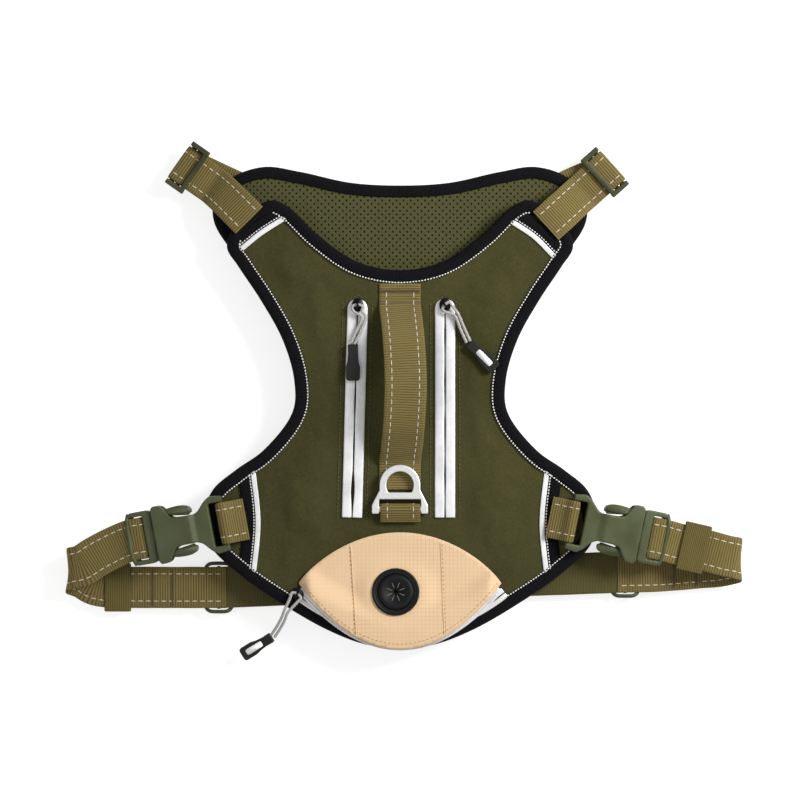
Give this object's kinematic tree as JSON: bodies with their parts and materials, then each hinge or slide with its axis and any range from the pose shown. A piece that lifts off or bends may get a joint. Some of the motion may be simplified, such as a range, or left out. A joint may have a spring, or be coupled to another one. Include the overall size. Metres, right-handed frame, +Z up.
{
  "type": "dog safety harness vest",
  "caption": "Olive dog safety harness vest laid flat, with a grab handle, leash ring, side-release buckles, zips and a bag pocket.",
  "frame": {"origin": "middle of the vest's outline, on the surface that it lies on", "axes": "+X across the vest from the left buckle to the right one, +Y towards the neck, +Z up through the chest panel and the back panel"},
  "size_m": [0.4078, 0.3128, 0.041],
  "materials": {
    "olive_fabric": "woven polyester canvas",
    "mesh_lining": "spacer mesh",
    "foam": "padding",
    "black_binding": "grosgrain edge tape",
    "reflective": "retroreflective film",
    "webbing": "ribbed nylon webbing",
    "green_plastic": "moulded acetal",
    "black_metal": "black enamel",
    "grey_cord": "braided cord",
    "rubber_grey": "moulded rubber",
    "rubber_black": "moulded rubber",
    "sand_ripstop": "ripstop cloth",
    "ring_alloy": "satin anodised"
  },
  "bodies": {
    "root": {"back_binding": "black_binding", "back_foam": "foam", "back_lining": "mesh_lining", "back_piping": "reflective", "back_shell": "olive_fabric", "belly_return_left": "webbing", "belly_return_right": "webbing", "belly_web": "webbing", "buckle_socket_left": "green_plastic", "buckle_socket_right": "green_plastic", "chest_binding": "black_binding", "chest_foam": "foam", "chest_lining": "mesh_lining", "chest_shell": "olive_fabric", "flank_reflector_left": "reflective", "flank_reflector_right": "reflective", "flank_trim_left": "black_binding", "flank_trim_right": "black_binding", "grab_handle": "webbing", "pocket_flap": "sand_ripstop", "pocket_zip_tape": "reflective", "port_grommet": "rubber_black", "port_membrane": "rubber_black", "ring_loop": "webbing", "shoulder_reflector_left": "reflective", "shoulder_reflector_right": "reflective", "shoulder_strap_left": "webbing", "shoulder_strap_right": "webbing", "shoulder_trim_left": "black_binding", "shoulder_trim_right": "black_binding", "socket_loop_left": "webbing", "socket_loop_right": "webbing", "strap_keeper_left": "webbing", "zip_tape_left": "reflective", "zip_tape_right": "reflective"},
    "leash_ring": {"leash_ring": "ring_alloy"},
    "zip_slider_left": {"zip_slider_left": "black_metal"},
    "zip_pull_left": {"zip_cord_left": "grey_cord", "zip_pull_left": "rubber_grey"},
    "zip_slider_right": {"zip_slider_right": "black_metal"},
    "zip_pull_right": {"zip_cord_right": "grey_cord", "zip_pull_right": "rubber_grey"},
    "pocket_zip_slider": {"pocket_zip_slider": "black_metal"},
    "pocket_zip_pull": {"pocket_zip_cord": "grey_cord", "pocket_zip_pull": "rubber_grey"},
    "buckle_plug_left": {"buckle_plug_left": "green_plastic", "belly_strap_left": "webbing"},
    "buckle_arm_upper_left": {"buckle_arm_upper_left": "green_plastic"},
    "buckle_arm_lower_left": {"buckle_arm_lower_left": "green_plastic"},
    "buckle_plug_right": {"buckle_plug_right": "green_plastic", "belly_strap_right": "webbing", "strap_keeper_right": "webbing"},
    "buckle_arm_upper_right": {"buckle_arm_upper_right": "green_plastic"},
    "buckle_arm_lower_right": {"buckle_arm_lower_right": "green_plastic"},
    "shoulder_slide_left": {"shoulder_slide_left": "green_plastic"},
    "shoulder_slide_right": {"shoulder_slide_right": "green_plastic"},
    "belly_slide_left": {"belly_slide_left": "green_plastic"},
    "belly_slide_right": {"belly_slide_right": "green_plastic"}
  },
  "joints": [
    {"name": "leash_ring_tilt", "type": "hinge", "parent": "root", "child": "leash_ring", "pos_m": [-0.0021, -0.069, 0.021], "axis": [1, 0, 0], "range_deg": [0, 140]},
    {"name": "zip_left_travel", "type": "slide", "parent": "root", "child": "zip_slider_left", "axis": [-0.0267, -0.9996, 0], "range_m": [0, 0.115]},
    {"name": "zip_left_pull_swing", "type": "hinge", "parent": "zip_slider_left", "child": "zip_pull_left", "pos_m": [-0.02749, 0.05335, 0.0215], "axis": [0, 0, 1], "range_deg": [-30, 8]},
    {"name": "zip_right_travel", "type": "slide", "parent": "root", "child": "zip_slider_right", "axis": [0, -1, 0], "range_m": [0, 0.115]},
    {"name": "zip_right_pull_swing", "type": "hinge", "parent": "zip_slider_right", "child": "zip_pull_right", "pos_m": [0.0249, 0.0534, 0.0215], "axis": [0, 0, 1], "range_deg": [-28, 28]},
    {"name": "pocket_zip_travel", "type": "hinge", "parent": "root", "child": "pocket_zip_slider", "pos_m": [-0.0021, -0.0454, 0.0215], "axis": [0, 0, 1], "range_deg": [0, 71]},
    {"name": "pocket_zip_pull_swing", "type": "hinge", "parent": "pocket_zip_slider", "child": "pocket_zip_pull", "pos_m": [-0.06374, -0.11991, 0.0215], "axis": [0, 0, 1], "range_deg": [-12, 12]},
    {"name": "buckle_left_release", "type": "slide", "parent": "root", "child": "buckle_plug_left", "axis": [-0.9725, -0.1802, -0.1478], "range_m": [0, 0.026]},
    {"name": "buckle_arm_upper_left_squeeze", "type": "hinge", "parent": "buckle_plug_left", "child": "buckle_arm_upper_left", "pos_m": [-0.15041, -0.0738, 0.01744], "axis": [-0.1453, -0.0269, 0.989], "range_deg": [-6, 0], "stiffness_Nm_per_rad": 0.3},
    {"name": "buckle_arm_lower_left_squeeze", "type": "hinge", "parent": "buckle_plug_left", "child": "buckle_arm_lower_left", "pos_m": [-0.14629, -0.09603, 0.01744], "axis": [-0.1453, -0.0269, 0.989], "range_deg": [0, 6], "stiffness_Nm_per_rad": 0.3},
    {"name": "buckle_right_release", "type": "slide", "parent": "root", "child": "buckle_plug_right", "axis": [0.9692, -0.1972, -0.1478], "range_m": [0, 0.026]},
    {"name": "buckle_arm_upper_right_squeeze", "type": "hinge", "parent": "buckle_plug_right", "child": "buckle_arm_upper_right", "pos_m": [0.14357, -0.07355, 0.01744], "axis": [0.1448, -0.0295, 0.989], "range_deg": [0, 6], "stiffness_Nm_per_rad": 0.3},
    {"name": "buckle_arm_lower_right_squeeze", "type": "hinge", "parent": "buckle_plug_right", "child": "buckle_arm_lower_right", "pos_m": [0.13906, -0.0957, 0.01744], "axis": [0.1448, -0.0295, 0.989], "range_deg": [-6, 0], "stiffness_Nm_per_rad": 0.3},
    {"name": "shoulder_slide_left_adjust", "type": "slide", "parent": "root", "child": "shoulder_slide_left", "axis": [0.8192, -0.5736, 0], "range_m": [0, 0.005]},
    {"name": "shoulder_slide_right_adjust", "type": "slide", "parent": "root", "child": "shoulder_slide_right", "axis": [-0.7431, -0.6691, 0], "range_m": [0, 0.005]},
    {"name": "belly_slide_left_adjust", "type": "slide", "parent": "root", "child": "belly_slide_left", "axis": [1, 0, 0], "range_m": [-0.012, 0.004]},
    {"name": "belly_slide_right_adjust", "type": "slide", "parent": "root", "child": "belly_slide_right", "axis": [1, 0, 0], "range_m": [-0.0025, 0.008]}
  ],
  "couplings": [
    {"joint": "buckle_arm_upper_left_squeeze", "follows": "buckle_arm_lower_left_squeeze", "ratio": -1},
    {"joint": "buckle_arm_lower_right_squeeze", "follows": "buckle_arm_upper_right_squeeze", "ratio": -1}
  ]
}
